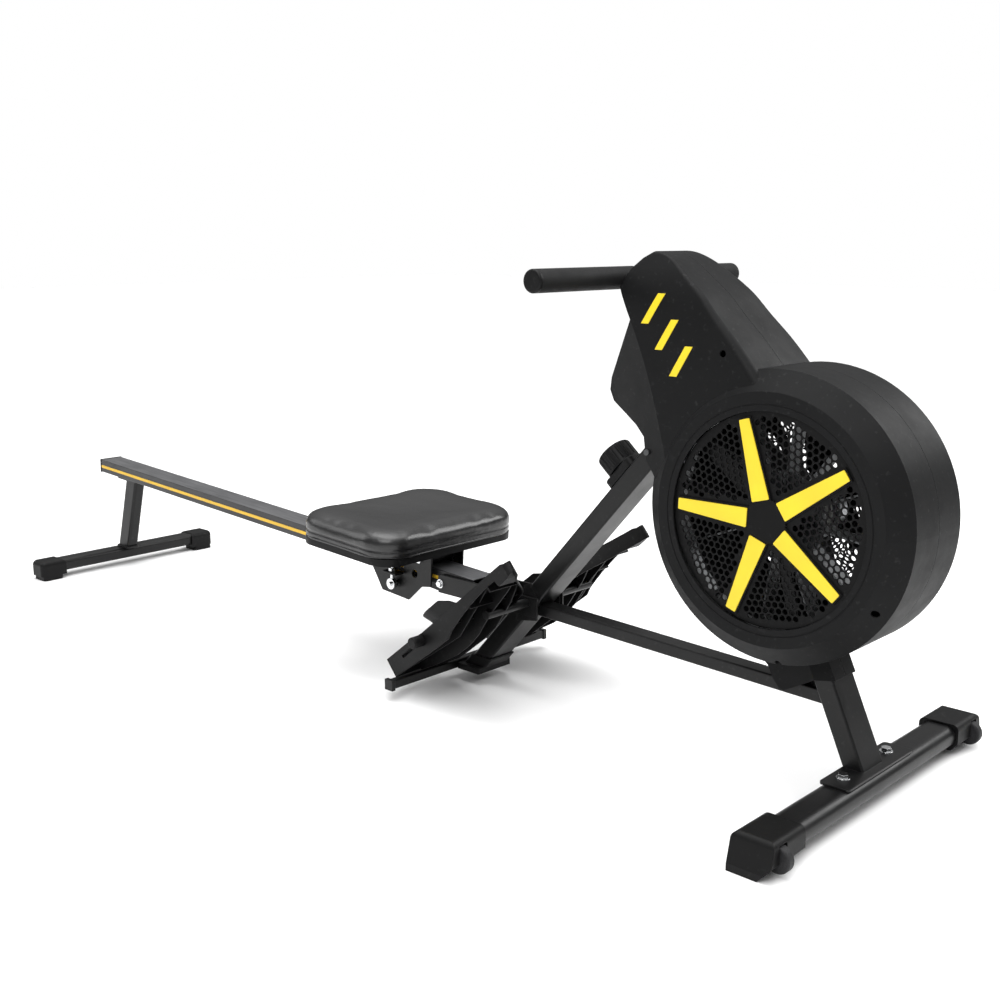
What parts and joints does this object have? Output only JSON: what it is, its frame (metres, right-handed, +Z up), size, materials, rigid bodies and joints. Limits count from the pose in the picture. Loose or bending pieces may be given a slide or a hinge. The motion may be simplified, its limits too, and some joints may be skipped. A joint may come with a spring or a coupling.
{
  "type": "rowing machine",
  "caption": "Air rowing machine: flat rail with sliding padded seat, round fan housing with star grilles, pull handle, footrests and front and rear feet.",
  "frame": {"origin": "on the floor under the middle of the machine's outside box", "axes": "+X forward along the rail towards the fan, the way the rower faces; +Y to the rower's left; +Z up"},
  "size_m": [1.9034, 0.568, 0.694],
  "materials": {
    "black_tube": "satin",
    "black_plastic": "matte",
    "cover_plastic": "satin",
    "yellow_plastic": "satin",
    "stripe_yellow": "satin",
    "rail_metal": "satin",
    "chrome": "polished",
    "zinc_steel": "satin",
    "foam": "matte",
    "seat_leather": "gloss",
    "roller_plastic": "satin",
    "strap_web": "matte",
    "screen": "gloss",
    "tyre_rubber": "matte"
  },
  "bodies": {
    "frame": {"main_post": "black_tube", "front_post": "black_tube", "base_tube": "black_tube", "post_foot": "black_plastic", "rail_channel": "black_tube", "rail_bolts": "chrome", "rail": "rail_metal", "rail_stripes": "stripe_yellow", "rail_end_cap": "black_plastic", "rear_leg": "black_tube", "rear_foot_tube": "black_tube", "rear_caps": "black_plastic", "front_foot_tube": "black_tube", "saddle_bolts": "chrome", "front_caps": "black_plastic", "wheel_axles": "zinc_steel", "cover_right": "cover_plastic", "cover_left": "cover_plastic", "cover_screws": "zinc_steel", "grille_right": "cover_plastic", "grille_left": "cover_plastic", "grille_blades": "yellow_plastic", "console_case": "black_plastic", "console_screen": "screen", "fan_plates": "black_tube", "fan_axle": "zinc_steel", "recoil_spring_case": "zinc_steel", "recoil_spring": "zinc_steel", "tension_base": "black_plastic", "pull_strap": "strap_web", "pulley_axle": "zinc_steel", "handle_rest": "black_plastic", "pedal_bar": "black_tube", "heel_bar": "black_tube", "pedal_right": "black_plastic", "pedal_left": "black_plastic"},
    "fan": {"fan_wheel": "zinc_steel", "fan_bearings": "chrome"},
    "spool": {"strap_spool": "roller_plastic"},
    "pulley": {"guide_pulley": "roller_plastic"},
    "brake": {"brake_arm": "zinc_steel", "brake_magnets": "black_tube"},
    "knob": {"tension_knob": "black_plastic"},
    "handle": {"handle_bar": "zinc_steel", "handle_grips": "foam", "grip_caps": "black_plastic", "strap_clip": "black_plastic"},
    "seat": {"seat_board": "black_plastic", "seat_cushion": "seat_leather", "seat_carriage": "black_tube", "roller_hardware": "chrome"},
    "roller_front": {"upper_roller_front": "roller_plastic"},
    "roller_rear": {"upper_roller_rear": "roller_plastic"},
    "roller_low": {"lower_roller": "roller_plastic"},
    "heel_right": {"heel_cup_right": "black_plastic"},
    "heel_left": {"heel_cup_left": "black_plastic"},
    "wheel_right": {"transport_wheel_right": "tyre_rubber"},
    "wheel_left": {"transport_wheel_left": "tyre_rubber"},
    "button": {"console_button": "yellow_plastic"}
  },
  "joints": [
    {"name": "fan_spin", "type": "hinge", "parent": "frame", "child": "fan", "pos_m": [0.7617, -0.033, 0.3637], "axis": [0, 1, 0], "continuous": true},
    {"name": "handle_pull", "type": "slide", "parent": "frame", "child": "handle", "axis": [-1, 0, 0], "range_m": [0, 0.9]},
    {"name": "spool_turn", "type": "hinge", "parent": "frame", "child": "spool", "pos_m": [0.7617, 0, 0.3637], "axis": [0, 1, 0], "continuous": true},
    {"name": "pulley_turn", "type": "hinge", "parent": "frame", "child": "pulley", "pos_m": [0.5767, 0, 0.6402], "axis": [0, 1, 0], "continuous": true},
    {"name": "knob_turn", "type": "hinge", "parent": "frame", "child": "knob", "pos_m": [0.48975, 0, 0.37855], "axis": [-0.7501, 0, 0.6613], "range_deg": [0, 270]},
    {"name": "brake_swing", "type": "hinge", "parent": "frame", "child": "brake", "pos_m": [0.65314, -0.033, 0.49776], "axis": [0, 1, 0], "range_deg": [0, 9]},
    {"name": "seat_slide", "type": "slide", "parent": "frame", "child": "seat", "axis": [-0.9986, 0, 0.0529], "range_m": [-0.005, 0.82]},
    {"name": "roller_front_turn", "type": "hinge", "parent": "seat", "child": "roller_front", "pos_m": [0.08521, 0, 0.18742], "axis": [0, 1, 0], "continuous": true},
    {"name": "roller_rear_turn", "type": "hinge", "parent": "seat", "child": "roller_rear", "pos_m": [-0.03162, 0, 0.1936], "axis": [0, 1, 0], "continuous": true},
    {"name": "roller_low_turn", "type": "hinge", "parent": "seat", "child": "roller_low", "pos_m": [0.02648, 0, 0.13725], "axis": [0, 1, 0], "continuous": true},
    {"name": "heel_right_slide", "type": "slide", "parent": "frame", "child": "heel_right", "axis": [0.766, 0, 0.6428], "range_m": [-0.05, 0]},
    {"name": "heel_left_slide", "type": "slide", "parent": "frame", "child": "heel_left", "axis": [0.766, 0, 0.6428], "range_m": [-0.05, 0]},
    {"name": "wheel_right_turn", "type": "hinge", "parent": "frame", "child": "wheel_right", "pos_m": [0.9047, -0.257, 0.023], "axis": [0, 1, 0], "continuous": true},
    {"name": "wheel_left_turn", "type": "hinge", "parent": "frame", "child": "wheel_left", "pos_m": [0.9047, 0.257, 0.023], "axis": [0, 1, 0], "continuous": true},
    {"name": "button_press", "type": "slide", "parent": "frame", "child": "button", "axis": [0.852, 0, -0.5235], "range_m": [0, 0.0015], "stiffness_N_per_m": 800, "springref_m": -0.0005}
  ],
  "couplings": [
    {"joint": "spool_turn", "follows": "handle_pull", "rad_per_m": -32.206},
    {"joint": "pulley_turn", "follows": "handle_pull", "rad_per_m": -55.402},
    {"joint": "brake_swing", "follows": "knob_turn", "ratio": 0.033333},
    {"joint": "roller_front_turn", "follows": "seat_slide", "rad_per_m": -90.909},
    {"joint": "roller_rear_turn", "follows": "seat_slide", "rad_per_m": -90.909},
    {"joint": "roller_low_turn", "follows": "seat_slide", "rad_per_m": 71.429}
  ]
}
